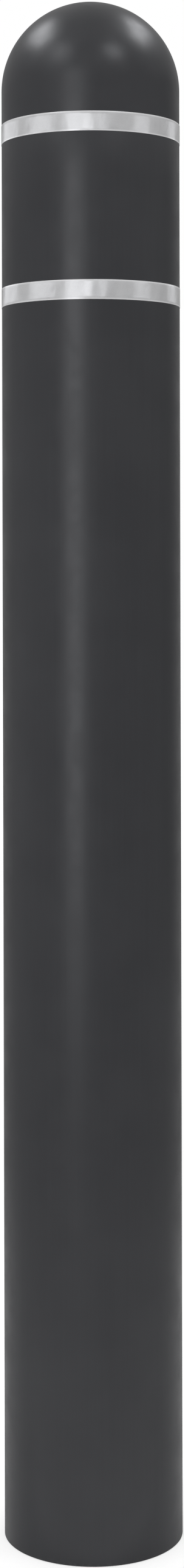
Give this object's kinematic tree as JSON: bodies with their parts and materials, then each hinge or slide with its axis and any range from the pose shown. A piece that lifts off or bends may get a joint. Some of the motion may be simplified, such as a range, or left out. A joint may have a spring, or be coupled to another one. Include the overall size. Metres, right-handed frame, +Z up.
{
  "type": "bollard cover sleeve",
  "caption": "Dome-topped polyethylene sleeve that slips over a steel bollard, with reflective tape bands outside and foam strips inside that grip the post.",
  "frame": {"origin": "centre of the foot, on the surface that the sleeve stands on", "axes": "+Z up along the sleeve's axis to the crown of the dome, +Y to the back, where the tape's ends overlap"},
  "size_m": [0.1784, 0.1787, 1.524],
  "materials": {
    "charcoal_polyethylene": "satin",
    "silver_reflective_tape": "gloss",
    "black_foam": "matte"
  },
  "bodies": {
    "root": {"sleeve_tube": "charcoal_polyethylene", "dome_cap": "charcoal_polyethylene", "upper_reflective_band": "silver_reflective_tape", "lower_reflective_band": "silver_reflective_tape", "upper_foam_strip_1": "black_foam", "upper_foam_strip_2": "black_foam", "upper_foam_strip_3": "black_foam", "upper_foam_strip_4": "black_foam", "lower_foam_strip_1": "black_foam", "lower_foam_strip_2": "black_foam", "lower_foam_strip_3": "black_foam", "lower_foam_strip_4": "black_foam"}
  },
  "joints": []
}
